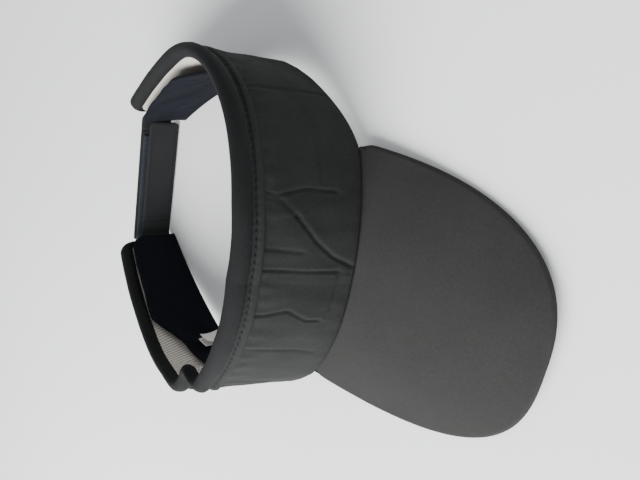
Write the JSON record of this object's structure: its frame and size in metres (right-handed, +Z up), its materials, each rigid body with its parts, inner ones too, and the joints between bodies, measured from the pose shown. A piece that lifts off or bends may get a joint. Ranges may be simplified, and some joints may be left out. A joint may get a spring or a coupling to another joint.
{
  "type": "sun visor",
  "caption": "Open-top sun visor: a padded cloth band with rolled top edge, a curved brim, an inner sweatband and a hook-and-loop strap closure at the back.",
  "frame": {"origin": "centre of the bounding box in plan, at the level of the surface the visor stands on", "axes": "-Y from the head opening towards the brim's front edge, +Y towards the strap closure, +X to the visor's right as seen by someone facing it from the brim side, +Z up"},
  "size_m": [0.1778, 0.272, 0.0748],
  "materials": {
    "shell_cloth": "plain-woven polyester with a slight sheen, pressed flat over thin foam, with creases",
    "foam": "thin flexible foam, hidden between the cloths",
    "lining_mesh": "cream open-hole mesh, matte",
    "binding_cloth": "rolled bias-cut cloth with slight sheen",
    "sweatband_cloth": "soft brushed cloth, very dark, matte",
    "brim_cloth": "smooth fine-woven cloth stretched over the board, matte",
    "brim_under_cloth": "plain cloth, matte",
    "brim_board": "flexible plastic sheet, hidden inside the covers",
    "seam_tape": "narrow woven tape",
    "thread": "polyester sewing thread with slight sheen",
    "strap_cloth": "smooth woven cloth strap",
    "hook_tape": "moulded nylon hook tape",
    "loop_pile": "fuzzy nylon loop pile",
    "label_cloth": "thin white satin ribbon, blank"
  },
  "bodies": {
    "front": {"shell_front": "shell_cloth", "foam_front": "foam", "lining_front": "lining_mesh", "binding_front": "binding_cloth", "hem_front": "shell_cloth", "topstitch_front": "thread", "sweatband_front": "sweatband_cloth", "brim_board": "brim_board", "brim_top_cover": "brim_cloth", "brim_under_cover": "brim_under_cloth", "brim_seam_tape": "seam_tape"},
    "left_wing": {"shell_left": "shell_cloth", "foam_left": "foam", "lining_left": "lining_mesh", "binding_left": "binding_cloth", "hem_left": "shell_cloth", "topstitch_left": "thread", "sweatband_left": "sweatband_cloth", "wing_end_left": "shell_cloth", "hook_tab": "strap_cloth"},
    "right_wing": {"shell_right": "shell_cloth", "foam_right": "foam", "lining_right": "lining_mesh", "binding_right": "binding_cloth", "hem_right": "shell_cloth", "topstitch_right": "thread", "sweatband_right": "sweatband_cloth", "wing_end_right": "shell_cloth", "loop_tab": "strap_cloth"},
    "hook_root": {"hook_base": "strap_cloth"},
    "hook_flap": {"hook_strap": "strap_cloth", "hook_patch": "hook_tape", "hook_stitch": "thread"},
    "loop_root": {"loop_base": "strap_cloth"},
    "loop_flap": {"loop_strap": "strap_cloth", "loop_patch": "loop_pile", "loop_stitch": "thread"},
    "back_leaf": {"label_back": "label_cloth"},
    "front_leaf": {"label_front": "label_cloth"}
  },
  "joints": [
    {"name": "size_right", "type": "hinge", "parent": "front", "child": "right_wing", "pos_m": [0.08541, 0.03583, 0.03192], "axis": [0, -0.0739, -0.9973], "range_deg": [0, 14]},
    {"name": "size_left", "type": "hinge", "parent": "front", "child": "left_wing", "pos_m": [-0.08541, 0.03583, 0.03192], "axis": [0, 0.0739, 0.9973], "range_deg": [0, 14]},
    {"name": "hook_root_bend", "type": "hinge", "parent": "left_wing", "child": "hook_root", "pos_m": [-0.04042, 0.13069, 0.01085], "axis": [0, -0.0739, -0.9973], "range_deg": [0, 14]},
    {"name": "loop_root_bend", "type": "hinge", "parent": "right_wing", "child": "loop_root", "pos_m": [0.04042, 0.13099, 0.01484], "axis": [0, 0.0739, 0.9973], "range_deg": [0, 14]},
    {"name": "hook_peel", "type": "hinge", "parent": "hook_root", "child": "hook_flap", "pos_m": [-0.03042, 0.13069, 0.01085], "axis": [0, -0.0739, -0.9973], "range_deg": [0, 80]},
    {"name": "loop_peel", "type": "hinge", "parent": "loop_root", "child": "loop_flap", "pos_m": [0.03042, 0.13433, 0.01459], "axis": [0, -0.0739, -0.9973], "range_deg": [0, 80]},
    {"name": "label_fold", "type": "hinge", "parent": "left_wing", "child": "front_leaf", "pos_m": [-0.07981, 0.0438, 0.00827], "axis": [0.1617, 0.9841, -0.0729], "range_deg": [0, 70]},
    {"name": "label_back_fold", "type": "hinge", "parent": "left_wing", "child": "back_leaf", "pos_m": [-0.08055, 0.04392, 0.00826], "axis": [0.1617, 0.9841, -0.0729], "range_deg": [0, 35]}
  ],
  "couplings": [
    {"joint": "size_left", "follows": "size_right", "ratio": 1},
    {"joint": "hook_root_bend", "follows": "size_right", "ratio": 1},
    {"joint": "loop_root_bend", "follows": "size_right", "ratio": 1},
    {"joint": "label_back_fold", "follows": "label_fold", "ratio": 0.5}
  ]
}
